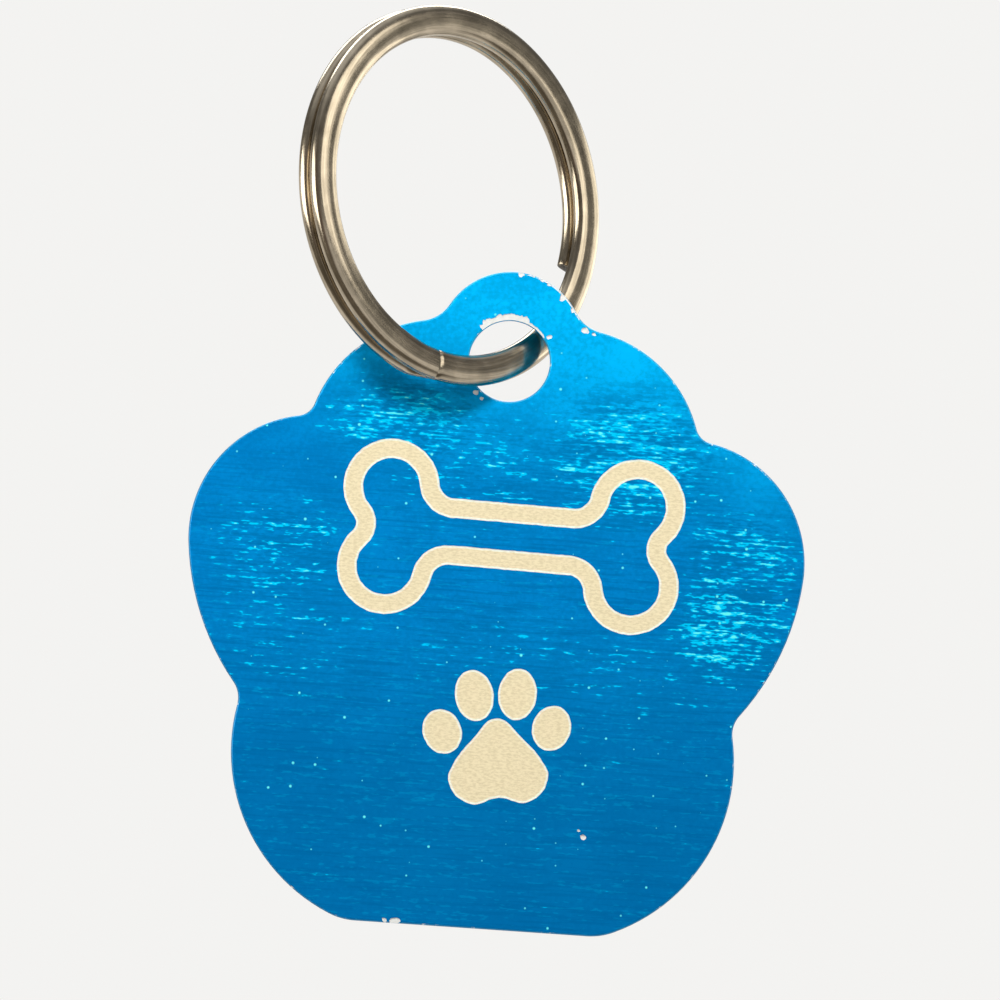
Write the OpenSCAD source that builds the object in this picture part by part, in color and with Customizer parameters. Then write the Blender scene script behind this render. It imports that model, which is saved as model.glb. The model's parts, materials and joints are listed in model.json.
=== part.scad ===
// Pet tag: a paw-shaped metal plate hanging from a split ring.
// The origin is the ring's centre, +Z is up, and the plate's marked face looks along -Y.

/* [Plate] */
// Width of the plate across its side toes
plate_w = 38; // [36:0.5:42]
// Height of the plate from the top of the ear to the flat foot
plate_h = 40.5; // [39:0.5:42]
// Thickness of the plate
plate_t = 1.2; // [0.8:0.1:1.6]
// Width and depth of the bevel round both faces
rim_bevel = 0.15; // [0.05:0.05:0.3]

/* [Ear] */
// Diameter of the hole for the ring
hole_d = 5; // [4.6:0.1:5.6]
// Outer radius of the ear
ear_r = 4.5; // [4:0.1:5]
// How far the hole's centre lies below the ear's centre
hole_drop = 1; // [0.5:0.1:1.5]
// Radius of the hollow between the ear and a shoulder
ear_notch_r = 2.3; // [1.5:0.1:3]

/* [Toes and pad] */
// Radius of each upper toe, which forms a shoulder
shoulder_r = 8.3; // [7.5:0.1:9]
// Distance of each upper toe's centre from the middle line
shoulder_x = 3.9; // [3.5:0.1:4.5]
// Depth of the upper toes' centres below the hole's centre
shoulder_drop = 6; // [5.5:0.1:6.5]
// Radius of each side toe
toe_r = 7.6; // [7:0.1:8.2]
// Depth of the side toes' centres below the hole's centre
toe_drop = 11.7; // [11:0.1:12.5]
// Radius of the flatter flank below each side toe
flank_r = 16; // [13:0.5:20]
// Angle below level at which a side toe runs into its flank
flank_angle = 5; // [0:1:15]
// Radius of the notch between two toes
toe_notch_r = 1.2; // [0.6:0.1:1.8]
// Radius of the notch between a flank and the pad
waist_notch_r = 1.7; // [0.8:0.1:2.5]
// Radius of each half of the pad
pad_r = 11.2; // [10.5:0.1:12]
// Distance of each half pad's centre from the middle line
pad_x = 4.3; // [4:0.1:4.8]
// Height that the flat foot takes off the round of the pad
foot_cut = 0.6; // [0.3:0.1:1.2]
// Radius of the corners at the foot
foot_r = 4.1; // [3:0.1:5]

/* [Split ring] */
// Outer diameter of the ring
ring_d = 23.6; // [20:0.5:28]
// Width of the ring's wire, measured outwards from the centre
wire_w = 1.9; // [1.4:0.1:2.2]
// Thickness of the wire, one coil high
wire_t = 0.95; // [0.7:0.05:1.1]
// Radius of the wire's edges
wire_edge_r = 0.4; // [0.1:0.05:0.45]
// Gap between the two coils
coil_gap = 0.06; // [0.04:0.01:0.2]
// Angle at which the front coil is cut off, counted rightwards from the ring's lowest point
front_end_angle = -22; // [-30:1:0]
// Angle at which the rear coil is cut off, counted the same way
rear_end_angle = 60; // [40:1:80]
// Angle over which the wire steps from the front coil to the rear one, beside the front coil's cut end
step_angle = 20; // [14:1:30]

/* [Hanging] */
// Place of the plate on the ring, counted rightwards from the ring's lowest point
hang_angle = 14; // [5:1:25]
// Sideways lean of the ring against the upright plate
ring_roll = 13; // [0:1:30]
// Gap between the two coils and the rims of the hole
rim_gap = 0.1; // [0.05:0.05:0.2]

/* [Hidden] */

// Largest turn between two points of an arc
arc_step = 4;
// Largest turn between two cross sections of the ring's wire, along the coils and in the step between them
coil_step = 5;
crossing_step = 2.5;
// Steps in each rounded edge of the wire's cross section
edge_steps = 3;
// Sides of a full circle at the hole
round_sides = 96;
// Length by which a cut runs past the faces it cuts
overrun = 1;

// Middle of the flat foot, and the centres of the outline's circles, as [x, z] from the hole's centre
foot_z = hole_drop + ear_r - plate_h;
ear = [0, hole_drop];
shoulder = [shoulder_x, -shoulder_drop];
toe = [plate_w / 2 - toe_r, -toe_drop];
pad = [pad_x, foot_z - foot_cut + pad_r];
flank = toe - (flank_r - toe_r) * heading(-flank_angle);
foot_angle = asin((foot_cut - pad_r + foot_r) / (pad_r - foot_r));
foot = pad + (pad_r - foot_r) * heading(foot_angle);
ear_notch = notch_centre(ear, ear_r, shoulder, shoulder_r, ear_notch_r);
toe_notch = notch_centre(shoulder, shoulder_r, toe, toe_r, toe_notch_r);
waist_notch = notch_centre(flank, flank_r, pad, pad_r, waist_notch_r);

// The ring leans until both coils just clear the rims of the hole
wire_r = (ring_d - wire_w) / 2;
coil_pitch = wire_t + coil_gap;
coils_t = wire_t + coil_pitch;
slot_d = sqrt(pow(hole_d, 2) - pow(wire_w, 2));
wire_rise = atan(plate_t / slot_d) + asin((coils_t + 2 * rim_gap) / norm([slot_d, plate_t]));
ring_turn = asin(sin(wire_rise) / cos(hang_angle));
// After a whole turn the wire is behind its own front end, and it goes on to the rear end
front_turns = 360 - step_angle;
total_turns = 2 * 360 - (rear_end_angle - front_end_angle);
// Angles in the ring's own plane are counted from its +X axis
lowest = -90;
hang_at = lowest + hang_angle;
front_end_at = lowest + front_end_angle;
// Centre of the hole, which is also the hinge point, in the part's own frame
hole_at = ring_to_part([wire_r * cos(hang_at), wire_r * sin(hang_at), 0]);

// Unit vector at an angle
function heading(angle) = [cos(angle), sin(angle)];

// Angle of the way from one point to another
function bearing(from, to) = atan2(to[1] - from[1], to[0] - from[0]);

// Centre of the circle of radius f that rests in the outer gap between circles a and b
function notch_centre(a, ra, b, rb, f) =
    let (way = b - a,
         d = norm(way),
         along = (pow(d, 2) + pow(ra + f, 2) - pow(rb + f, 2)) / (2 * d),
         out = sqrt(pow(ra + f, 2) - pow(along, 2)))
    a + (along * way + out * [-way[1], way[0]]) / d;

// Values from one to another in even steps, without the last one
function spread(from, to, step) =
    let (steps = ceil(abs(to - from) / step))
    [for (i = [0 : steps - 1]) from + (to - from) * i / steps];

// Points of an arc, without the last one, where the next arc starts
function arc(centre, r, from, to) = [for (angle = spread(from, to, arc_step)) centre + r * heading(angle)];

// Right half of the outline, from the top of the ear to the foot, drawn in by an inset
function half_outline(inset) =
    let (ear_out = bearing(ear, ear_notch),
         shoulder_in = bearing(shoulder, ear_notch),
         shoulder_out = bearing(shoulder, toe_notch),
         toe_in = bearing(toe, toe_notch),
         flank_out = bearing(flank, waist_notch),
         pad_in = bearing(pad, waist_notch))
    concat(arc(ear, ear_r - inset, 90, ear_out),
           arc(ear_notch, ear_notch_r + inset, ear_out + 180, shoulder_in + 180),
           arc(shoulder, shoulder_r - inset, shoulder_in, shoulder_out),
           arc(toe_notch, toe_notch_r + inset, shoulder_out + 180, toe_in + 180),
           arc(toe, toe_r - inset, toe_in, -flank_angle),
           arc(flank, flank_r - inset, -flank_angle, flank_out),
           arc(waist_notch, waist_notch_r + inset, flank_out + 180, pad_in + 180),
           arc(pad, pad_r - inset, pad_in, foot_angle),
           arc(foot, foot_r - inset, foot_angle, -90),
           [[foot[0], foot_z + inset]]);

// Whole outline, counterclockwise, with the ear's top point held once
function outline(inset) =
    let (half = half_outline(inset), last = len(half) - 1)
    concat([for (i = [last : -1 : 0]) half[i]],
           [for (i = [1 : last]) [-half[i][0], half[i][1]]]);

// Solid between rings of as many points each, closed at both ends
module skin(rings) {
    sides = len(rings[0]);
    last = len(rings) - 1;
    points = [for (ring = rings) each ring];
    walls = [for (k = [0 : last - 1], i = [0 : sides - 1])
        let (a = k * sides + i, b = k * sides + (i + 1) % sides)
        each [[a, b + sides, b], [a, a + sides, b + sides]]];
    first_cap = [for (i = [0 : sides - 1]) i];
    last_cap = [for (i = [sides - 1 : -1 : 0]) last * sides + i];
    polyhedron(points, concat([first_cap, last_cap], walls));
}

// A point of the ring's own plane, whose +Z is the ring's axis, in the part's frame
function ring_to_part(p) =
    let (upright = [p[0], -p[2], p[1]],
         turned = [upright[0] * cos(ring_turn) - upright[1] * sin(ring_turn),
                   upright[0] * sin(ring_turn) + upright[1] * cos(ring_turn),
                   upright[2]])
    [turned[0] * cos(ring_roll) - turned[2] * sin(ring_roll),
     turned[1],
     turned[0] * sin(ring_roll) + turned[2] * cos(ring_roll)];

// Puts what is drawn flat, with the hole's centre at the origin, into the upright plate's place
module at_hole() {
    translate(hole_at) rotate([90, 0, 0]) children();
}

// Puts what is drawn round the Z axis into the leaning ring's place
module at_ring() {
    rotate([0, -ring_roll, 0]) rotate([90, 0, ring_turn]) children();
}

// Cuts the ring's hole, with the plate's own bevel round both rims
module ring_hole() {
    hole_r = hole_d / 2;
    rim_z = plate_t / 2;
    cylinder(h = plate_t + 2 * overrun, r = hole_r, center = true, $fn = round_sides);
    for (side = [0, 1]) mirror([0, 0, side])
        translate([0, 0, rim_z - rim_bevel])
            cylinder(h = rim_bevel + overrun, r1 = hole_r, r2 = hole_r + rim_bevel + overrun, $fn = round_sides);
}

module tag_plate() {
    face_z = plate_t / 2;
    levels = [[-face_z, rim_bevel], [-face_z + rim_bevel, 0], [face_z - rim_bevel, 0], [face_z, rim_bevel]];
    color("deepskyblue") at_hole() difference() {
        skin([for (level = levels) [for (p = outline(level[1])) [p[0], p[1], level[0]]]]);
        ring_hole();
    }
}

// Cross section of the wire: [distance from the ring's axis, height], round at its four edges
function wire_section() =
    let (across = wire_w / 2 - wire_edge_r,
         up = wire_t / 2 - wire_edge_r,
         corners = [[across, up, 0], [-across, up, 90], [-across, -up, 180], [across, -up, 270]])
    [for (c = corners, i = [0 : edge_steps])
        [wire_r + c[0], c[1]] + wire_edge_r * heading(c[2] + 90 * i / edge_steps)];

// Height of the wire's middle after a turn from the front end: front coil, step, rear coil
function wire_z(turn) =
    let (share = min(max((turn - front_turns) / step_angle, 0), 1))
    coil_pitch / 2 * cos(180 * share);

module split_ring() {
    section = wire_section();
    turns = concat(spread(0, front_turns, coil_step),
                   spread(front_turns, 360, crossing_step),
                   spread(360, total_turns, coil_step),
                   [total_turns]);
    color("silver") at_ring()
        skin([for (turn = turns)
            let (at = front_end_at - turn)
            [for (p = section) [p[0] * cos(at), p[0] * sin(at), p[1] + wire_z(turn)]]]);
}

tag_plate();
split_ring();
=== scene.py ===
# A paw-shaped pet tag of blue anodised aluminium on its nickel-plated split ring.
# Lengths are in metres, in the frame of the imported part: +Z up, the marked face towards -Y.
import json
import math
import random

import bpy
from mathutils import Matrix, Vector, noise


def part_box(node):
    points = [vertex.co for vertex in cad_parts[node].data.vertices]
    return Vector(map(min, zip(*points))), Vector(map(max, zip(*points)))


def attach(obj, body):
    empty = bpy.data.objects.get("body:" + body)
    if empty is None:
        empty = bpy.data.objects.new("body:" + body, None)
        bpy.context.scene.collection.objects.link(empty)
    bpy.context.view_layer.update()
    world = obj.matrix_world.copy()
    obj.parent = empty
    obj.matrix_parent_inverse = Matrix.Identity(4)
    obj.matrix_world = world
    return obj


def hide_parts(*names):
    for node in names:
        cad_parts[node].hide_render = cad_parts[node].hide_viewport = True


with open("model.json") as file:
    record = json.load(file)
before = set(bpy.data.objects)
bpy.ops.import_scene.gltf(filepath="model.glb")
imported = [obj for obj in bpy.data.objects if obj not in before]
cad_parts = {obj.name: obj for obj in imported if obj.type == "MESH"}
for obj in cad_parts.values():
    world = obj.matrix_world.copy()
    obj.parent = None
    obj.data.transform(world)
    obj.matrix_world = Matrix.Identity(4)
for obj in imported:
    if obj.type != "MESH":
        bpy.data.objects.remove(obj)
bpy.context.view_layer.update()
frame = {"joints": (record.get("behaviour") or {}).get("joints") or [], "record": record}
mm = 0.001
hinge = Vector(frame["joints"][0]["pos_m"])  # centre of the tag's hole
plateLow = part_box("tag_plate")[0]  # its y is the tag's marked face
standUp = Matrix.Rotation(math.radians(90), 4, 'X')  # turns a flat drawing upright, to face the front
smoothAngle = math.radians(35)
print("frame loaded")


# Leaves one object selected and active
def pick(piece):
    bpy.ops.object.select_all(action='DESELECT')
    piece.select_set(True)
    bpy.context.view_layer.objects.active = piece


# Opens a piece in edit mode with only the wanted faces or vertices selected, or all of them
def selectIn(piece, wanted=None, what='FACE'):
    pick(piece)
    bpy.ops.object.mode_set(mode='EDIT')
    bpy.ops.mesh.select_mode(type=what)
    bpy.ops.mesh.select_all(action='DESELECT')
    bpy.ops.object.mode_set(mode='OBJECT')
    parts = piece.data.polygons if what == 'FACE' else piece.data.vertices
    for part in parts:
        part.select = wanted is None or wanted(part)
    bpy.ops.object.mode_set(mode='EDIT')


def applyModifier(piece, kind, **settings):
    pick(piece)
    modifier = piece.modifiers.new(kind.lower(), kind)
    for name, value in settings.items():
        setattr(modifier, name, value)
    bpy.ops.object.modifier_apply(modifier=modifier.name)


# Cuts a piece with another, which is used up; the cut faces take the cutter's material
def cutWith(piece, cutter):
    applyModifier(piece, 'BOOLEAN', operation='DIFFERENCE', object=cutter, solver='EXACT',
                  material_mode='TRANSFER')
    bpy.data.objects.remove(cutter)


# Turns and places a piece, and freezes that into its mesh
def placeFlat(piece, matrix):
    piece.matrix_basis = matrix @ piece.matrix_basis
    pick(piece)
    bpy.ops.object.transform_apply(location=True, rotation=True, scale=True)


def joinAll(pieces):
    pick(pieces[0])
    for piece in pieces:
        piece.select_set(True)
    bpy.ops.object.join()
    return pieces[0]


# Fills a node's inputs; each is a number, a colour or another node's output
def fillInputs(tree, node, inputs):
    for name, value in inputs.items():
        if isinstance(value, bpy.types.NodeSocket):
            tree.links.new(value, node.inputs[name])
        else:
            node.inputs[name].default_value = value


def addNode(tree, kind, settings, inputs):
    node = tree.nodes.new(kind)
    for name, value in settings.items():
        setattr(node, name, value)
    fillInputs(tree, node, inputs)
    return node


# One step of arithmetic; each value is a number or another node's output
def calc(tree, operation, first, second=0.0):
    return addNode(tree, 'ShaderNodeMath', {'operation': operation}, {0: first, 1: second}).outputs[0]


# The same for vectors; a length or a distance comes out as a number
def vectorCalc(tree, operation, first, second=(0, 0, 0)):
    node = addNode(tree, 'ShaderNodeVectorMath', {'operation': operation}, {0: first, 1: second})
    return node.outputs['Value' if operation in ('LENGTH', 'DISTANCE') else 'Vector']


def splitVector(tree, vector):
    return tuple(addNode(tree, 'ShaderNodeSeparateXYZ', {}, {0: vector}).outputs)


def joinVector(tree, x, y, z=0.0):
    return addNode(tree, 'ShaderNodeCombineXYZ', {}, {0: x, 1: y, 2: z}).outputs[0]


# A value plus a share of another
def addShare(tree, value, other, share):
    return calc(tree, 'ADD', value, calc(tree, 'MULTIPLY', other, share))


# Two patterns in one, by the share of the first
def blendPatterns(tree, share, first, second):
    return calc(tree, 'ADD', calc(tree, 'MULTIPLY', first, share), calc(tree, 'MULTIPLY', second, 1 - share))


# Eases a value from one range into another; either may run downwards
def ease(tree, value, low, high, toLow=0.0, toHigh=1.0):
    node = addNode(tree, 'ShaderNodeMapRange', {'interpolation_type': 'SMOOTHSTEP'},
                   {'Value': value, 'From Min': low, 'From Max': high, 'To Min': toLow, 'To Max': toHigh})
    return node.outputs[0]


def mixColours(tree, share, first, second):
    node = addNode(tree, 'ShaderNodeMix', {'data_type': 'RGBA'}, {0: share, 6: first, 7: second})
    return node.outputs[2]


# Noise on coordinates that are stretched by a factor along each axis: a larger factor is finer
def stretchedNoise(tree, place, stretch, detail, roughness):
    stretched = vectorCalc(tree, 'MULTIPLY', place, stretch)
    node = addNode(tree, 'ShaderNodeTexNoise', {},
                   {'Vector': stretched, 'Scale': 1.0, 'Detail': detail, 'Roughness': roughness})
    return node.outputs['Fac']


# Lets a pattern stand out from the surface, by a height and a strength
def addBump(tree, shader, pattern, height, strength):
    bump = addNode(tree, 'ShaderNodeBump', {}, {'Height': pattern, 'Distance': height, 'Strength': strength})
    fillInputs(tree, shader, {'Normal': bump.outputs[0]})


# A material with its node tree and shader
def newMaterial(name):
    material = bpy.data.materials.new(name)
    material.use_nodes = True
    return material, material.node_tree, material.node_tree.nodes['Principled BSDF']


# The place on a piece in millimetres, from a point and along turned axes
def placeFrom(tree, origin, turn=(0, 0, 0)):
    coordinates = addNode(tree, 'ShaderNodeTexCoord', {}, {})
    place = addNode(tree, 'ShaderNodeMapping', {}, {
        'Vector': coordinates.outputs['Object'], 'Location': tuple(-c / mm for c in origin),
        'Rotation': turn, 'Scale': (1 / mm,) * 3})
    return place.outputs[0]


# Blue anodised aluminium, brushed across the tag, with painted light: paler towards the ear, deeper towards
# the foot.
# Places are in millimetres from the hole's centre, x to the right and z up.
blue = {
    # Painted light and shade: from the pale ear through the middle to the deep foot, as if lit from above
    'ear': (0.001, 0.505, 1.0, 1),
    'middle': (0.0006, 0.217, 0.58, 1),
    'foot': (0.0004, 0.163, 0.44, 1),
    'grooveAndShade': (0.0, 0.118, 0.345, 1),  # dark brushed lines, and painted shade between the glints
    'glint': (0.0, 0.58, 0.94, 1),  # painted glints on the brushed lines
    'spark': (0.12, 0.89, 0.93, 1),  # the brightest painted glints, and the painted sparkle dots
    'earHeights': (-9.5, 4.8),
    'earLean': 0.18,  # painted light: height that the paleness gains for each mm to the right
    'footHeights': (-13.5, -28.0),
    'metallic': 0.20,
    'specular': 0.0,
    'roughness': (0.34, 0.12),  # the least, and the most that the streaks add
    'relief': (0.015 * mm, 0.5),  # height and strength
    # Patterns: stretch along x, y and z, detail and roughness
    'rows': ((0.30, 1.0, 6.2), 1.0, 0.5),
    'beads': ((2.0, 1.0, 6.4), 1.0, 0.5),
    'streaks': ((0.30, 1.0, 6.0), 2.0, 0.5),
    'clouds': ((0.22, 0.22, 0.3), 3.0, 0.55),
    'grain': ((3.4, 2.0, 3.8), 2.0, 0.6),
    # Share of the first pattern where two are blended
    'grainInClouds': 0.5,
    'rowsInBeads': 0.45,
    'rowsInGrain': 0.6,
    # Where a pattern colours the blue: its values there, and the least and most that it does
    'mottling': (0.62, 0.38, 0.0, 0.34),
    'darkLines': (0.50, 0.36, 0.0, 0.42),
    # painted glints, faint, along the lines below the ear
    'paleLines': (0.55, 0.64, 0.0, 0.12),
    # painted shade: dark dashes between the glints, in the zones only
    'paintedShadeDips': (0.50, 0.40, 0.0, 0.66),
    # painted glints and sparks
    'glints': (0.70, 0.76),
    'sparks': (0.795, 0.85),
    'lineHeights': (-3.0, -12.0, 0.1, 1.0),  # the lines fade in below the ear
    # Zones of painted glints, where the brushing catches the light: centre, half size and strength
    'glintZones': [
        ((7.9, -5.6), (6.0, 4.9), 1.03),
        ((15.2, -11.5), (4.2, 3.8), 0.95),
        ((14.7, -15.2), (4.4, 4.4), 1.08),
        ((-13.5, -12.6), (5.2, 4.2), 0.7),
        ((-6.0, -4.2), (5.6, 3.2), 0.95),
        ((-1.5, -7.0), (6.5, 4.4), 0.60),
        ((10.5, -19.0), (6.0, 3.0), 0.42),
        ((1.5, -18.0), (8.0, 3.2), 0.40),
        ((-12.0, -18.0), (6.0, 4.0), 0.42),
    ],
    'zoneEdge': (0.45, 1.25),  # half sizes from its centre over which a zone fades out
    # painted sheen over the zones
    'zoneGlow': 0.05,
    'zoneLift': 0.18,  # what a zone adds to the pattern of painted glints
    'dotCell': 1.5,  # one painted sparkle at most in each cell about this wide
    'dotShare': 0.34,  # of the cells
    'dotRadii': (0.04, 0.12),
    'dotEdge': 0.08,  # how far in from its edge a dot has its full strength
    'dotDepth': 0.55,  # only beyond this far from the middle of the plate, so not on its side
}


# Painted sparkles: round bright dots, scattered one to a cell over some of the cells
def makeDots(tree, place):
    right, back, height = splitVector(tree, place)
    cells = addNode(tree, 'ShaderNodeTexVoronoi', {'voronoi_dimensions': '2D'},
                    {'Vector': joinVector(tree, right, height), 'Scale': 1 / blue['dotCell']})
    draw = addNode(tree, 'ShaderNodeSeparateColor', {}, {0: cells.outputs['Color']})
    least, most, edge = (size / blue['dotCell'] for size in (*blue['dotRadii'], blue['dotEdge']))
    radius = addShare(tree, least, draw.outputs[1], most - least)
    inside = calc(tree, 'SUBTRACT', radius, cells.outputs['Distance'])
    drawn = calc(tree, 'LESS_THAN', draw.outputs[0], blue['dotShare'])
    onFace = calc(tree, 'GREATER_THAN', calc(tree, 'ABSOLUTE', back), blue['dotDepth'])
    return calc(tree, 'MULTIPLY', ease(tree, inside, 0.0, edge), calc(tree, 'MULTIPLY', drawn, onFace))


# How strongly the painted glints show, where the brushing catches the light
def makeZones(tree, place):
    zones = 0.0
    for (x, z), (halfX, halfZ), strength in blue['glintZones']:
        away = vectorCalc(tree, 'SUBTRACT', place, (x, 0, z))
        away = vectorCalc(tree, 'MULTIPLY', away, (1 / halfX, 0, 1 / halfZ))
        zone = ease(tree, vectorCalc(tree, 'LENGTH', away), *blue['zoneEdge'], strength, 0.0)
        zones = calc(tree, 'MAXIMUM', zones, zone)
    return zones


def makeBlue():
    material, tree, shader = newMaterial('blueAnodised')
    place = placeFrom(tree, hinge)
    patterns = ('rows', 'beads', 'streaks', 'clouds', 'grain')
    rows, beads, streaks, clouds, grain = (stretchedNoise(tree, place, *blue[name]) for name in patterns)
    right, height = splitVector(tree, place)[::2]  # x and z
    # Painted light and shade: paler towards the ear and to the right, darker towards the foot
    leaning = addShare(tree, height, right, blue['earLean'])
    colour = mixColours(tree, ease(tree, leaning, *blue['earHeights']), blue['middle'], blue['ear'])
    colour = mixColours(tree, ease(tree, height, *blue['footHeights']), colour, blue['foot'])
    # Mottled all over, with faint dark lines and faint painted glints below the ear
    mottled = blendPatterns(tree, blue['grainInClouds'], grain, clouds)
    colour = mixColours(tree, ease(tree, mottled, *blue['mottling']), colour, blue['grooveAndShade'])
    lined = ease(tree, height, *blue['lineHeights'])
    darker = calc(tree, 'MULTIPLY', ease(tree, streaks, *blue['darkLines']), lined)
    colour = mixColours(tree, darker, colour, blue['grooveAndShade'])
    caught = blendPatterns(tree, blue['rowsInBeads'], rows, beads)
    paler = calc(tree, 'MULTIPLY', ease(tree, caught, *blue['paleLines']), lined)
    colour = mixColours(tree, paler, colour, blue['glint'])
    # Where the brushing catches the light: painted shade in dashes, painted glints with a painted glow,
    # painted sparks and sparkle dots
    zones = makeZones(tree, place)
    # Painted shade: dark dashes between the painted glints
    paintedShadeDips = calc(tree, 'MULTIPLY', ease(tree, caught, *blue['paintedShadeDips']), zones)
    colour = mixColours(tree, paintedShadeDips, colour, blue['grooveAndShade'])
    colour = mixColours(tree, calc(tree, 'MULTIPLY', zones, blue['zoneGlow']), colour, blue['glint'])
    caught = addShare(tree, caught, zones, blue['zoneLift'])
    colour = mixColours(tree, ease(tree, caught, *blue['glints']), colour, blue['glint'])
    colour = mixColours(tree, ease(tree, caught, *blue['sparks']), colour, blue['spark'])
    colour = mixColours(tree, makeDots(tree, place), colour, blue['spark'])
    least, more = blue['roughness']
    fillInputs(tree, shader, {'Base Color': colour, 'Metallic': blue['metallic'],
                              'Specular IOR Level': blue['specular'],
                              'Roughness': addShare(tree, least, streaks, more)})
    addBump(tree, shader, blendPatterns(tree, blue['rowsInGrain'], rows, grain), *blue['relief'])
    return material


# The tag's bevels, where the blue is thinner and worn through in specks, with painted light: paler towards
# the ear.
rubbed = {
    'thin': (0.0, 0.235, 0.51, 1),
    # painted light: the bevels' blue pales towards the ear, as the face does
    'thinEar': (0.01, 0.47, 0.80, 1),
    'speck': (0.73, 0.80, 0.82, 1),
    'roughness': (0.30, 0.20),  # the least, and the most that the specks add
    'specks': ((2.2, 2.2, 2.2), 4.0, 0.65),
    'runs': ((0.25, 0.25, 0.25), 2.0, 0.5),  # stretches of the edge with more specks
    'runShare': 0.35,
    'wornThrough': (0.78, 0.86),
    # The ear's edge that the ring rubs: its middle, the distances over which the wear ends, and the wear
    'ringWear': ((2.7, 0, 4.4), (1.43, 2.6), 0.72),
}


def makeRubbed():
    material, tree, shader = newMaterial('rubbedBevel')
    place = placeFrom(tree, hinge)
    specks = stretchedNoise(tree, place, *rubbed['specks'])
    middle, fade, wear = rubbed['ringWear']
    nearRing = ease(tree, vectorCalc(tree, 'DISTANCE', place, middle), *fade, wear, 0.0)
    runs = calc(tree, 'ADD', stretchedNoise(tree, place, *rubbed['runs']), nearRing)
    worn = ease(tree, addShare(tree, specks, runs, rubbed['runShare']), *rubbed['wornThrough'])
    height = splitVector(tree, place)[2]
    # Painted light: paler towards the ear, as on the face
    thin = mixColours(tree, ease(tree, height, *blue['earHeights']), rubbed['thin'], rubbed['thinEar'])
    least, more = rubbed['roughness']
    fillInputs(tree, shader, {'Base Color': mixColours(tree, worn, thin, rubbed['speck']),
                              'Metallic': blue['metallic'],
                              'Roughness': addShare(tree, least, specks, more)})
    return material


# Metal laid bare by the engraver, pale and matt, and where the blue is chipped off. A fine grain changes each
# from its first shade to its second, as it rises over the values in 'change'.
etched = {
    'floorShades': ((0.69, 0.59, 0.37, 1), (0.81, 0.71, 0.48, 1)),
    'rimShades': ((0.74, 0.74, 0.60, 1), (0.81, 0.86, 0.78, 1)),
    'grain': ((3.4, 3.4, 9.0), 3.0, 0.65),
    'change': (0.36, 0.60),
    'metallic': 0.10,
    'roughness': 0.62,
    'relief': (0.02 * mm, 0.7),
}
bare = {
    'shades': ((0.65, 0.69, 0.69, 1), (0.88, 0.88, 0.86, 1)),  # blended by the grain as it is
    'grain': ((4.0, 4.0, 4.0), 3.0, 0.6),
    'metallic': 0.15,
    'roughness': 0.38,
    'relief': (0.03 * mm, 0.5),
}


def makeGrained(name, origin, finish, shades):
    material, tree, shader = newMaterial(name)
    grain = stretchedNoise(tree, placeFrom(tree, origin), *finish['grain'])
    share = ease(tree, grain, *finish['change']) if 'change' in finish else grain
    fillInputs(tree, shader, {'Base Color': mixColours(tree, share, *shades),
                              'Metallic': finish['metallic'], 'Roughness': finish['roughness']})
    addBump(tree, shader, grain, *finish['relief'])
    return material


# The engraved marks; places are from the hole's centre, x to the right and z up
marks = {
    'depth': 0.03 * mm,
    'rimWidth': 0.13 * mm,
    'wander': 0.03 * mm,  # how far the engraver's edge strays
    'wanderLength': 0.3 * mm,
    'wanderSeed': 7,
    'overrun': 0.3 * mm,  # how far a cutter stands out of the tag
    'curveSteps': 12,  # from one point of a smooth outline to the next
    'weld': 0.0001 * mm,  # points nearer than this become one
    'floorFacing': 0.9,  # least share of a floor's normal towards the front
    'floorSlack': 0.001 * mm,  # how near to its depth a floor lies
}
paw = {
    'middle': (0.98 * mm, -24.89 * mm),
    'turn': 5.5,
    # Right half of the pad's outline, from the top to the dip at the bottom
    'padHalf': [(0, 2.91 * mm), (1.47 * mm, 1.72 * mm), (2.74 * mm, 0.18 * mm),
                (3.08 * mm, -0.80 * mm), (1.82 * mm, -2.28 * mm), (0, -1.97 * mm)],
    # Right toes: middle, width and height, and how far each leans outwards
    'toes': [((1.33 * mm, 4.36 * mm), (2.37 * mm, 3.17 * mm), 8),
             ((3.37 * mm, 2.21 * mm), (2.37 * mm, 2.80 * mm), 20)],
    'toeSides': 72,
}
bone = {
    'middle': (0.84 * mm, -10.77 * mm),
    'turn': -1.0,
    'knobRadius': 2.95 * mm,
    'knobX': 7.6 * mm,
    'knobZ': 2.45 * mm,
    'shaftHalf': 2.05 * mm,
    'neckRound': 1.0 * mm,  # hollow between a knob and the shaft
    'dipRound': 0.6 * mm,  # hollow between two knobs
    'stroke': 1.2 * mm,
    'shaftStep': 0.25 * mm,
}


# A flat face inside a closed curve through points: smooth through few points, or straight between many
def drawOutline(points, smooth=True):
    bpy.ops.curve.primitive_bezier_circle_add(radius=1)
    curve = bpy.context.object
    curve.data.dimensions = '2D'
    curve.data.fill_mode = 'NONE'
    curve.data.resolution_u = marks['curveSteps'] if smooth else 1
    spline = curve.data.splines[0]
    spline.bezier_points.add(len(points) - len(spline.bezier_points))
    for knot, (x, z) in zip(spline.bezier_points, points):
        knot.co = (x, z, 0)
        knot.handle_left_type = knot.handle_right_type = 'AUTO' if smooth else 'VECTOR'
    pick(curve)
    bpy.ops.object.convert(target='MESH')
    selectIn(curve, what='VERT')
    bpy.ops.mesh.remove_doubles(threshold=marks['weld'])
    bpy.ops.mesh.edge_face_add()
    bpy.ops.mesh.normals_make_consistent(inside=False)
    bpy.ops.object.mode_set(mode='OBJECT')
    if curve.data.polygons[0].normal.z < 0:
        curve.data.flip_normals()
    return curve


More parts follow.
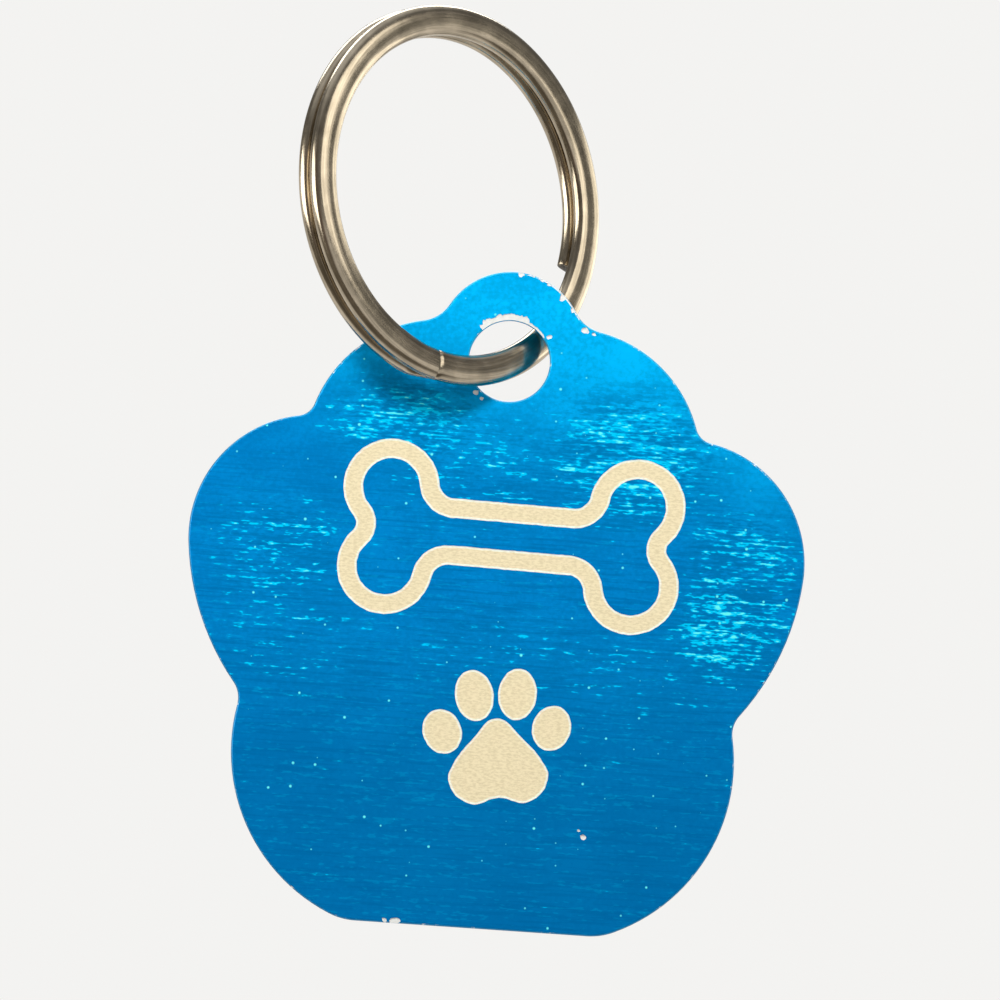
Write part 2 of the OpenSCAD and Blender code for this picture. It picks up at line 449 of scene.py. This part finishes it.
# From the flat drawing plane of a mark to its place in the tag's face
def markPlace(mark):
    x, z = mark['middle']
    return (Matrix.Translation((hinge.x + x, plateLow.y, hinge.z + z)) @ standUp
            @ Matrix.Rotation(math.radians(mark['turn']), 4, 'Z'))


# Raises a flat face into a cutter that reaches from outside the tag's face down to a depth
def raiseCutter(piece, place, depth):
    for vertex in piece.data.vertices:
        stray = noise.noise_vector(vertex.co / marks['wanderLength'])
        vertex.co += Vector((stray.x, stray.y, 0)) * marks['wander']
    selectIn(piece)
    bpy.ops.mesh.extrude_region_move(TRANSFORM_OT_translate={'value': (0, 0, marks['overrun'] + depth)})
    bpy.ops.mesh.select_all(action='SELECT')
    bpy.ops.transform.translate(value=(0, 0, -depth))
    bpy.ops.mesh.normals_make_consistent(inside=False)
    bpy.ops.object.mode_set(mode='OBJECT')
    placeFlat(piece, place)


def makePaw():
    flats = []
    for side in (-1, 1):
        for (x, z), (width, height), lean in paw['toes']:
            bpy.ops.mesh.primitive_circle_add(vertices=paw['toeSides'], radius=0.5, fill_type='NGON')
            toe = bpy.context.object
            toe.scale = (width, height, 1)
            toe.rotation_euler.z = math.radians(-lean * side)
            toe.location = (x * side, z, 0)
            placeFlat(toe, Matrix.Identity(4))
            flats.append(toe)
    leftHalf = [(-x, z) for x, z in reversed(paw['padHalf'][1:-1])]
    flats.append(drawOutline(paw['padHalf'] + leftHalf))
    for flat in flats:
        raiseCutter(flat, markPlace(paw), marks['depth'])
    return flats


# Points of an arc, both ends included
def arcPoints(middle, radius, start, end, arcStep=3):
    steps = math.ceil(abs(end - start) / arcStep)
    angles = [math.radians(start + (end - start) * step / steps) for step in range(steps + 1)]
    return [(middle[0] + radius * math.cos(angle), middle[1] + radius * math.sin(angle)) for angle in angles]


def bearing(start, end):
    return math.degrees(math.atan2(end[1] - start[1], end[0] - start[0]))


# Upper right quarter of a bone's outline, from the dip between the knobs to the middle of the shaft
def boneQuarter():
    knob = (bone['knobX'], bone['knobZ'])
    dipReach = bone['knobRadius'] + bone['dipRound']
    dip = (knob[0] + math.sqrt(dipReach ** 2 - knob[1] ** 2), 0)
    neckReach = bone['knobRadius'] + bone['neckRound']
    neckZ = bone['shaftHalf'] + bone['neckRound']
    neck = (knob[0] - math.sqrt(neckReach ** 2 - (neckZ - knob[1]) ** 2), neckZ)
    shaftSteps = math.ceil(neck[0] / bone['shaftStep'])
    return (arcPoints(dip, bone['dipRound'], 180, bearing(dip, knob))
            + arcPoints(knob, bone['knobRadius'], bearing(knob, dip), bearing(knob, neck))[1:]
            + arcPoints(neck, bone['neckRound'], bearing(neck, knob), -90)[1:]
            + [(neck[0] * (1 - step / shaftSteps), bone['shaftHalf']) for step in range(1, shaftSteps + 1)])


# The outline of a bone, drawn with one broad stroke
def makeBone():
    upperRight = boneQuarter()
    upper = upperRight + [(-x, z) for x, z in reversed(upperRight[:-1])]
    shape = drawOutline(upper + [(x, -z) for x, z in reversed(upper[1:-1])], smooth=False)
    selectIn(shape)
    bpy.ops.mesh.inset(thickness=bone['stroke'], use_even_offset=True)
    bpy.ops.mesh.delete(type='FACE')
    bpy.ops.object.mode_set(mode='OBJECT')
    raiseCutter(shape, markPlace(bone), marks['depth'])
    return [shape]


# The tag itself. Its outline's arcs are given by middle and radius, in millimetres from the hole's centre.
plate = {
    'thickness': 1.2 * mm,
    'holeRadius': 2.5 * mm,
    'holeSides': 120,
    'bevel': 0.15 * mm,
    'bevelSteps': 4,
    'bevelTurn': math.radians(60),  # edges that turn more than this are bevelled
    'bevelTilt': (0.25, 0.97),  # how much a bevel's face looks forwards or backwards
    'faceWeight': 100,  # how far the flat faces rule the shading of the bevels
    'ear': ((0, 1.0), 4.5),
    'shoulder': ((3.9, -6.0), 8.3),
    'toe': ((11.4, -11.7), 7.6),
    'flankRadius': 16,
    'flankAngle': -5,
    'pad': ((4.3, -24.4), 11.2),
    'footRadius': 4.1,
    'footZ': -35,
    'earNotch': 2.3,
    'toeNotch': 1.2,
    'waistNotch': 1.7,
}
# Chips in the blue, in millimetres and degrees from the hole's centre
chips = {
    'seed': 11,
    'depth': 0.09 * mm,
    'corners': 11,
    'roughness': 0.25,  # how unevenly a chip's corners stand out
    'stretch': 1.2,  # how much longer it is than high
    'turn': 0.6,  # how far a chip may lie askew, in radians
    # The worn crescent over the hole: angles, and how broad it is there
    'crescent': [(38, 0.0), (42, 0.07), (66, 0.10), (73, 0.40), (90, 0.34), (112, 0.28), (126, 0.36),
                 (133, 0.26), (136, 0.0)],
    'crescentDepth': 0.06 * mm,
    'crescentStep': 1.8,
    'crescentStart': 0.6,  # in the hole's bevel, as a share of it
    'crescentRagged': (0.7, 1.2),
    # Spots on the ear's edge: angle and size, and the share of the size that lies on the tag
    'earSpots': [(85.5, 0.17), (75, 0.08), (67.5, 0.11), (61.5, 0.13), (46, 0.22), (33, 0.16)],
    'earSpotInside': 0.5,
    # Spots elsewhere: place and size
    'spots': [(4.53, 2.22, 0.20), (5.07, 2.0, 0.11), (2.36, 1.66, 0.14), (-1.92, -2.05, 0.14),
              (-1.55, -2.42, 0.10), (-4.72, -34.9, 0.26), (-5.35, -34.85, 0.14), (6.5, -28.92, 0.15),
              (6.22, -28.55, 0.08)],
}


def chipPlace(x=0.0, z=0.0):
    return markPlace({'middle': (x * mm, z * mm), 'turn': 0})


# One chip: an irregular spot, longer than it is high
def makeChip(x, z, reach, dice):
    points = []
    for corner in range(chips['corners']):
        angle = 2 * math.pi * corner / chips['corners']
        out = reach * mm * (1 + dice.uniform(-1, 1) * chips['roughness'])
        points.append((out * math.cos(angle) * chips['stretch'], out * math.sin(angle)))
    spot = drawOutline(points, smooth=False)
    spot.rotation_euler.z = dice.uniform(-chips['turn'], chips['turn'])
    placeFlat(spot, Matrix.Identity(4))
    raiseCutter(spot, chipPlace(x, z), chips['depth'])
    return spot


# The crescent over the hole, worn by the ring
def makeCrescent(dice):
    inside = plate['holeRadius'] - marks['overrun']
    outer, inner = [], []
    for (start, startBreadth), (end, endBreadth) in zip(chips['crescent'], chips['crescent'][1:]):
        steps = max(1, round((end - start) / chips['crescentStep']))
        for step in range(steps):
            share = step / steps
            angle = math.radians(start + (end - start) * share)
            breadth = startBreadth + (endBreadth - startBreadth) * share
            breadth = breadth * dice.uniform(*chips['crescentRagged']) * mm
            out = plate['holeRadius'] + plate['bevel'] * chips['crescentStart'] + breadth
            outer.append((out * math.cos(angle), out * math.sin(angle)))
            inner.append((inside * math.cos(angle), inside * math.sin(angle)))
    crescent = drawOutline(outer + inner[::-1], smooth=False)
    raiseCutter(crescent, chipPlace(), chips['crescentDepth'])
    return crescent


def makeChips():
    dice = random.Random(chips['seed'])
    (earX, earZ), earRadius = plate['ear']
    spots = [makeCrescent(dice)]
    for angle, reach in chips['earSpots']:
        out = earRadius - chips['earSpotInside'] * reach
        x, z = earX + out * math.cos(math.radians(angle)), earZ + out * math.sin(math.radians(angle))
        spots.append(makeChip(x, z, reach, dice))
    return spots + [makeChip(x, z, reach, dice) for x, z, reach in chips['spots']]


# Middle of the small arc that rests in the hollow outside two others
def notchMiddle(first, second, radius):
    (ax, az), (bx, bz) = first[0], second[0]
    apart = math.hypot(bx - ax, bz - az)
    along = (apart ** 2 + (first[1] + radius) ** 2 - (second[1] + radius) ** 2) / (2 * apart)
    out = math.sqrt((first[1] + radius) ** 2 - along ** 2)
    return (ax + (along * (bx - ax) - out * (bz - az)) / apart,
            az + (along * (bz - az) + out * (bx - ax)) / apart)


# Right half of the tag's outline, from the top of the ear to the flat foot
def halfOutline():
    ear, shoulder, toe, pad = plate['ear'], plate['shoulder'], plate['toe'], plate['pad']
    flankTurn = math.radians(plate['flankAngle'])
    back = plate['flankRadius'] - toe[1]
    flankMiddle = (toe[0][0] - back * math.cos(flankTurn), toe[0][1] - back * math.sin(flankTurn))
    flank = (flankMiddle, plate['flankRadius'])
    inner = pad[1] - plate['footRadius']
    footDrop = plate['footZ'] + plate['footRadius'] - pad[0][1]
    footAngle = math.degrees(math.asin(footDrop / inner))
    foot = (pad[0][0] + inner * math.cos(math.radians(footAngle)), pad[0][1] + footDrop)
    hollows = ((ear, shoulder, 'earNotch'), (shoulder, toe, 'toeNotch'), (flank, pad, 'waistNotch'))
    outline, angle = [], 90
    for here, there, notch in hollows:
        middle = notchMiddle(here, there, plate[notch])
        if here is flank:
            outline += arcPoints(toe[0], toe[1], angle, plate['flankAngle'])[:-1]
            angle = plate['flankAngle']
        leave, enter = bearing(here[0], middle), bearing(there[0], middle)
        outline += arcPoints(here[0], here[1], angle, leave)[:-1]
        outline += arcPoints(middle, plate[notch], leave + 180, enter + 180)[:-1]
        angle = enter
    outline += arcPoints(pad[0], pad[1], angle, footAngle)[:-1]
    return outline + arcPoints(foot, plate['footRadius'], footAngle, -90)


# The blank: its outline raised to a plate, with the hole cut and all edges bevelled
def makeBlank():
    right = [(x * mm, z * mm) for x, z in halfOutline()]
    piece = drawOutline(right + [(-x, z) for x, z in reversed(right[1:])], smooth=False)
    piece.name = 'tagPlate'
    selectIn(piece)
    bpy.ops.mesh.extrude_region_move(TRANSFORM_OT_translate={'value': (0, 0, plate['thickness'])})
    bpy.ops.mesh.select_all(action='SELECT')
    bpy.ops.transform.translate(value=(0, 0, -plate['thickness'] / 2))
    bpy.ops.mesh.normals_make_consistent(inside=False)
    bpy.ops.object.mode_set(mode='OBJECT')
    placeFlat(piece, Matrix.Translation(hinge) @ standUp)
    bpy.ops.mesh.primitive_cylinder_add(vertices=plate['holeSides'], radius=plate['holeRadius'],
                                        depth=plate['thickness'] * 2, location=hinge,
                                        rotation=(math.radians(90), 0, 0))
    cutWith(piece, bpy.context.object)
    applyModifier(piece, 'BEVEL', width=plate['bevel'], segments=plate['bevelSteps'], limit_method='ANGLE',
                  angle_limit=plate['bevelTurn'], use_clamp_overlap=False)
    return piece


def makePlate():
    piece = makeBlank()
    materials = [makeBlue(), makeRubbed(),
                 makeGrained('etchedMetal', hinge, etched, etched['floorShades']),
                 makeGrained('etchedRim', hinge, etched, etched['rimShades']),
                 makeGrained('bareAluminium', hinge, bare, bare['shades'])]
    slots = {material.name: number for number, material in enumerate(materials)}
    piece.data.materials.clear()
    for material in materials:
        piece.data.materials.append(material)
    low, high = plate['bevelTilt']
    for face in piece.data.polygons:
        isBevel = low < abs(face.normal.y) < high
        face.material_index = slots['rubbedBevel' if isBevel else 'blueAnodised']
    print("tag cut out and its edges bevelled")

    noise.seed_set(marks['wanderSeed'])
    cutters = []
    for shapes, finish in ((makePaw() + makeBone(), 'etchedRim'), (makeChips(), 'bareAluminium')):
        for shape in shapes:
            shape.data.materials.clear()
            shape.data.materials.append(materials[slots[finish]])
        cutters += shapes
    cutWith(piece, joinAll(cutters))
    floorY = plateLow.y + marks['depth']

    def isFloor(face):
        return face.normal.y < -marks['floorFacing'] and abs(face.center.y - floorY) < marks['floorSlack']

    # The floors of the marks are inset, so that a narrow rim of their own stays round them
    selectIn(piece, isFloor)
    bpy.ops.mesh.inset(thickness=marks['rimWidth'], use_even_offset=True)
    bpy.ops.object.mode_set(mode='OBJECT')
    for face in piece.data.polygons:
        if face.select:
            face.material_index = slots['etchedMetal']
    print("marks engraved and edges chipped")
    pick(piece)
    bpy.ops.object.shade_smooth_by_angle(angle=smoothAngle)
    applyModifier(piece, 'WEIGHTED_NORMAL', keep_sharp=True, weight=plate['faceWeight'])
    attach(piece, "tag")
    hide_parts("tag_plate")
    return piece


# The split ring: one wire, wound from its front coil over a step into its rear coil
ring = {
    'outerDiameter': 23.6 * mm,
    'wireWidth': 1.9 * mm,
    'wireThickness': 0.95 * mm,
    'sides': 36,  # of the wire's section
    'roundness': 2.4,  # 2 is an oval wire; a larger number is squarer
    'coilGap': 0.06 * mm,
    'frontEnd': -22,  # where each coil is cut off, in degrees rightwards from the lowest point
    'rearEnd': 60,
    'stepTurn': 10,  # over which the wire steps back from the front coil to the rear one
    'tipTurn': 8,  # part of the step that the front coil's slanting tip lies over
    'tipGap': 0.015 * mm,
    'coilStep': 2.5,  # degrees from one section of the wire to the next
    'fineStep': 0.5,  # the same where the wire steps back
    'cutSoftness': 0.05 * mm,
    'cutSteps': 2,
    'endSlack': (1, 0.1 * mm),  # how near an end face lies to its angle and its height
    # Nickel: its shades, the values of the pattern between which they change, and the draw lines
    'shade': (0.29, 0.245, 0.18, 1),
    'bright': (0.52, 0.44, 0.33, 1),
    'change': (0.36, 0.64),
    'linesAlong': 2.2,  # draw lines along the wire: slow along it, fast across
    'linesAcross': 7.0,
    'lineDetail': (4.0, 0.6),
    'smudge': ((0.5, 0.5, 0.5), 3.0, 0.6),
    'linesInSmudge': 0.6,  # share of the lines where the two are blended
    'roughness': (0.12, 0.12),  # the least, and the most that the smudges add
    'relief': (0.012 * mm, 0.35),
}
# The dark raw face where the wire was cut off, darkened further as painted shade at the wire's end
cutSteelAndShade = {
    # the first shade, nearly black, is painted shade
    'shades': ((0.07, 0.06, 0.05, 1), ring['shade']),
    'grain': ((6.0, 6.0, 6.0), 3.0, 0.6),
    'change': (0.45, 0.7),
    'metallic': 1.0,
    'roughness': 0.55,
    'relief': (0.03 * mm, 0.6),
}


# From the ring's own plane to its place in the frame: the mount's axis is the ring's own
def ringPlace():
    axis = Vector(frame["record"]["mounts"][0]["axis"])
    turn = math.acos(-axis.y)
    roll = math.atan2(axis.z, axis.x)
    return Matrix.Rotation(-roll, 4, 'Y') @ Matrix.Rotation(turn, 4, 'Z') @ standUp


def makeNickel():
    material, tree, shader = newMaterial('nickelWire')
    place = placeFrom(tree, (0, 0, 0), ringPlace().inverted().to_euler('XYZ'))
    x, y, height = splitVector(tree, place)
    flat = joinVector(tree, x, y)
    headingX, headingY = splitVector(tree, vectorCalc(tree, 'NORMALIZE', flat))[:2]
    along = joinVector(tree, calc(tree, 'MULTIPLY', headingX, ring['linesAlong']),
                       calc(tree, 'MULTIPLY', headingY, ring['linesAlong']),
                       calc(tree, 'MULTIPLY', height, ring['linesAcross']))
    across = calc(tree, 'MULTIPLY', vectorCalc(tree, 'LENGTH', flat), ring['linesAcross'])
    detail, roughness = ring['lineDetail']
    lines = addNode(tree, 'ShaderNodeTexNoise', {'noise_dimensions': '4D'}, {
        'Vector': along, 'W': across, 'Scale': 1.0, 'Detail': detail, 'Roughness': roughness}).outputs['Fac']
    smudge = stretchedNoise(tree, place, *ring['smudge'])
    tone = ease(tree, blendPatterns(tree, ring['linesInSmudge'], lines, smudge), *ring['change'])
    least, more = ring['roughness']
    fillInputs(tree, shader, {'Base Color': mixColours(tree, tone, ring['shade'], ring['bright']),
                              'Metallic': 1.0, 'Roughness': addShare(tree, least, smudge, more)})
    addBump(tree, shader, lines, *ring['relief'])
    return material


# Angle round the ring's own axis, in degrees from x
def angleOf(point):
    return math.degrees(math.atan2(point.y, point.x))


# A test for the face of the wire's end at an angle and height
def endFace(angle, height):
    def isEnd(face):
        nearAngle, nearHeight = ring['endSlack']
        return (len(face.vertices) == ring['sides'] and abs(angleOf(face.center) - angle) < nearAngle
                and abs(face.center.z - height) < nearHeight)
    return isEnd


# Winds the wire on from one of its ends; spin turns clockwise by a positive angle
def spinEnd(wire, isEnd, turn, stepAngle):
    selectIn(wire, isEnd)
    bpy.ops.mesh.spin(steps=round(abs(turn) / stepAngle), angle=-math.radians(turn), center=(0, 0, 0),
                      axis=(0, 0, 1))
    bpy.ops.object.mode_set(mode='OBJECT')


# The wire's section, upright at an angle and height on the ring
def drawSection(angle, height):
    bpy.ops.mesh.primitive_circle_add(vertices=ring['sides'], radius=1, fill_type='NGON')
    wire = bpy.context.object
    wire.name = 'splitRing'
    for vertex in wire.data.vertices:
        for axis in (0, 1):
            squarer = abs(vertex.co[axis]) ** (2 / ring['roundness'])
            vertex.co[axis] = math.copysign(squarer, vertex.co[axis])
    wire.scale = (ring['wireWidth'] / 2, ring['wireThickness'] / 2, 1)
    placeFlat(wire, Matrix.Identity(4))
    wireRadius = (ring['outerDiameter'] - ring['wireWidth']) / 2
    placeFlat(wire, Matrix.Rotation(math.radians(angle), 4, 'Z')
              @ Matrix.Translation((wireRadius, 0, height)) @ standUp)
    return wire


def makeRing():
    pitch = ring['wireThickness'] + ring['coilGap']
    rearAt = -90 + ring['rearEnd']
    lowAt = -90 + ring['frontEnd'] - ring['tipTurn']
    stepAt = lowAt + ring['stepTurn']
    wire = drawSection(stepAt, pitch / 2)

    # The bare section makes the step first. Then the rear coil winds on from the step's lower end, and the
    # front coil from its upper one.
    spinEnd(wire, None, -ring['stepTurn'], ring['fineStep'])
    for vertex in wire.data.vertices:
        share = (stepAt - angleOf(vertex.co)) / ring['stepTurn']
        vertex.co.z += pitch / 2 * (math.cos(math.pi * share) - 1)
    print("step between the coils made")
    spinEnd(wire, endFace(lowAt, -pitch / 2), rearAt - lowAt - 360, ring['coilStep'])
    spinEnd(wire, endFace(stepAt, pitch / 2), 360 - ring['stepTurn'], ring['coilStep'])
    wire.data.materials.append(makeNickel())
    # The rear end's cut face: raw steel and painted shade
    wire.data.materials.append(makeGrained('cutSteelAndShade', (0, 0, 0), cutSteelAndShade, cutSteelAndShade['shades']))
    isRearEnd = endFace(rearAt, -pitch / 2)
    for face in wire.data.polygons:
        face.material_index = 1 if isRearEnd(face) else 0
    selectIn(wire, isRearEnd)
    bpy.ops.mesh.bevel(offset=ring['cutSoftness'], segments=ring['cutSteps'], affect='EDGES')
    bpy.ops.object.mode_set(mode='OBJECT')

    # The front coil's tip thins out over the step, flush with the wire beyond it
    wound = len(wire.data.vertices)
    spinEnd(wire, endFace(lowAt, pitch / 2), ring['tipTurn'], ring['fineStep'])
    for vertex in wire.data.vertices[wound:]:
        share = (angleOf(vertex.co) - lowAt) / ring['stepTurn']
        space = pitch / 2 * (math.cos(math.pi * share) + 1) - ring['tipGap']
        height = vertex.co.z - pitch / 2
        if height < 0:
            vertex.co.z = pitch / 2 + max(height, -height - space)
    print("front coil's tip laid over the step,", len(wire.data.vertices) - wound, "points")
    selectIn(wire)
    bpy.ops.mesh.normals_make_consistent(inside=False)
    bpy.ops.object.mode_set(mode='OBJECT')
    placeFlat(wire, ringPlace())
    bpy.ops.object.shade_smooth_by_angle(angle=smoothAngle)
    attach(wire, "ring")
    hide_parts("split_ring")
    return wire


# The room: a pale floor well below the hanging tag, soft lamps, and a level camera
room = {
    'floorDrop': 0.45,
    'floorRadius': 2.4,
    'floorSides': 96,
    'floorColour': (0.84, 0.835, 0.82, 1),
    'floorRoughness': 0.9,
    'floorGlow': 1.15,  # the floor's own light, for the camera and the metal
    'floorGlowShare': 0.85,  # the rest is lit by the lamps, and takes a shadow
    # The room's light by height: how far up a direction looks, from -1 to 1, and its colour there
    'pale': (0.90, 0.895, 0.88, 1),
    'paleUpTo': 0.085,
    'heights': [(0.17, (0.26, 0.26, 0.25, 1)), (0.60, (0.20, 0.20, 0.20, 1)), (0.92, (0.80, 0.82, 0.85, 1))],
    'fill': 0.47,  # strength of the room's light on matt surfaces
    # Painted dark reflection that only the metal mirrors in front: over which y it darkens, by direction and
    # by metres, and its colour
    'darkSide': ((-0.78, -0.95), (0.20, 0.17, 0.15, 1)),
    'darkFloor': ((-0.10, -0.40), (0.16, 0.14, 0.11, 1)),
}
# Lamps: place and aim from the hole's centre, width and height, watts and colour. The first ones light the
# matt surfaces, and the others are soft panels that only the metal mirrors.
lamps = {
    'key': ((-0.055, -0.215, 0.105), (0, 0, -0.010), (0.045, 0.045), 0.56, (1.0, 0.99, 0.97)),
    'rightFill': ((0.22, -0.16, 0.06), (0, 0, -0.010), (0.08, 0.08), 0.245, (1.0, 0.95, 0.86)),
    'backKey': ((0.10, 0.24, 0.11), (0, 0, -0.010), (0.10, 0.10), 1.00, (1.0, 0.99, 0.97)),
}
panels = {
    'leftWindow': ((-0.26, -0.23, 0.05), (0, 0, 0.01), (0.46, 0.20), 1.25, (1.0, 0.99, 0.95)),
    'rightPanel': ((0.25, 0.17, 0.03), (0, 0, 0.01), (0.30, 0.16), 0.28, (1.0, 0.98, 0.90)),
    'topPanel': ((-0.04, 0.16, 0.22), (0, 0, 0.01), (0.36, 0.16), 0.95, (0.95, 0.98, 1.0)),
    'nearCard': ((0.074, -0.042, 0.051), (-0.004, -0.002, 0.010), (0.050, 0.050), 0.018, (1.0, 0.98, 0.92)),
}
view = {
    'target': (4.24 * mm, -18.39 * mm),  # x and z, on the marked face
    'distance': 0.42,
    'roll': 3.9,
    'viewWidth': 61.55 * mm,  # what the photograph spans at the tag
    'sensor': 36.0,
    'clipStart': 0.01,
}


# Whether a ray comes from the camera or from gloss or glass
def seenRays(tree, rays):
    seen = calc(tree, 'MAXIMUM', rays.outputs['Is Camera Ray'], rays.outputs['Is Glossy Ray'])
    return calc(tree, 'MAXIMUM', seen, rays.outputs['Is Transmission Ray'])


# Painted dark reflection: darkens a colour towards the front, for the metal alone
def darkenFront(tree, rays, vector, colour, darkening):
    reach, dark = darkening
    share = ease(tree, splitVector(tree, vector)[1], *reach)
    return mixColours(tree, calc(tree, 'MULTIPLY', share, rays.outputs['Is Glossy Ray']), colour, dark)


# The camera and the metal see a floor as pale as the room round it, which still takes a shadow
def makeFloor():
    bpy.ops.mesh.primitive_circle_add(vertices=room['floorSides'], radius=room['floorRadius'],
                                      fill_type='NGON', location=(0, 0, plateLow.z - room['floorDrop']))
    floor = bpy.context.object
    floor.name = 'floor'
    material, tree, shader = newMaterial('paleFloor')
    fillInputs(tree, shader, {'Base Color': room['floorColour'], 'Roughness': room['floorRoughness']})
    rays = addNode(tree, 'ShaderNodeLightPath', {}, {})
    place = addNode(tree, 'ShaderNodeTexCoord', {}, {}).outputs['Object']
    # Painted dark reflection in the floor's front, for the metal alone
    colour = darkenFront(tree, rays, place, room['pale'], room['darkFloor'])
    glow = addNode(tree, 'ShaderNodeEmission', {}, {'Color': colour, 'Strength': room['floorGlow']})
    share = calc(tree, 'MULTIPLY', seenRays(tree, rays), room['floorGlowShare'])
    blend = addNode(tree, 'ShaderNodeMixShader', {}, {0: share, 1: shader.outputs[0], 2: glow.outputs[0]})
    fillInputs(tree, tree.nodes['Material Output'], {'Surface': blend.outputs[0]})
    floor.data.materials.append(material)


# The metal sees the whole room, the camera a pale one all round, and everything else gets a dimmer light
def makeWorld():
    world = bpy.data.worlds.new('softRoom')
    bpy.context.scene.world = world
    world.use_nodes = True
    tree = world.node_tree
    rays = addNode(tree, 'ShaderNodeLightPath', {}, {})
    direction = addNode(tree, 'ShaderNodeTexCoord', {}, {}).outputs['Generated']
    up = splitVector(tree, direction)[2]
    colour, low = room['pale'], room['paleUpTo']
    for high, colourAbove in room['heights']:
        colour = mixColours(tree, ease(tree, up, low, high), colour, colourAbove)
        low = high
    # Painted dark reflection in the room's front, for the metal alone
    colour = darkenFront(tree, rays, direction, colour, room['darkSide'])
    colour = mixColours(tree, rays.outputs['Is Camera Ray'], colour, room['pale'])
    strength = ease(tree, seenRays(tree, rays), 0.0, 1.0, room['fill'], 1.0)
    fillInputs(tree, tree.nodes['Background'], {'Color': colour, 'Strength': strength})


def makeLamps():
    for name, (place, aim, size, power, colour) in {**lamps, **panels}.items():
        lampData = bpy.data.lights.new(name, 'AREA')
        lampData.shape = 'RECTANGLE'
        lampData.size, lampData.size_y = size
        lampData.energy = power
        lampData.color = colour
        lamp = bpy.data.objects.new(name, lampData)
        bpy.context.collection.objects.link(lamp)
        lamp.location = hinge + Vector(place)
        lamp.rotation_euler = (hinge + Vector(aim) - lamp.location).to_track_quat('-Z', 'Y').to_euler()
        lamp.visible_camera = False
        lamp.visible_glossy = name in panels
        lamp.visible_diffuse = name in lamps


def makeCamera():
    cameraData = bpy.data.cameras.new('camera')
    cameraData.sensor_width = view['sensor']
    cameraData.lens = view['sensor'] * view['distance'] / view['viewWidth']
    cameraData.clip_start = view['clipStart']
    camera = bpy.data.objects.new('camera', cameraData)
    bpy.context.collection.objects.link(camera)
    x, z = view['target']
    camera.location = (x, plateLow.y - view['distance'], z)
    camera.rotation_euler = (math.radians(90), math.radians(-view['roll']), 0)
    bpy.context.scene.camera = camera


makeCamera()
makeFloor()
makeWorld()
makeLamps()
print("room and camera set")
makePlate()
print("tag made")
makeRing()
print("ring wound")
bpy.context.scene.view_settings.view_transform = 'Standard'
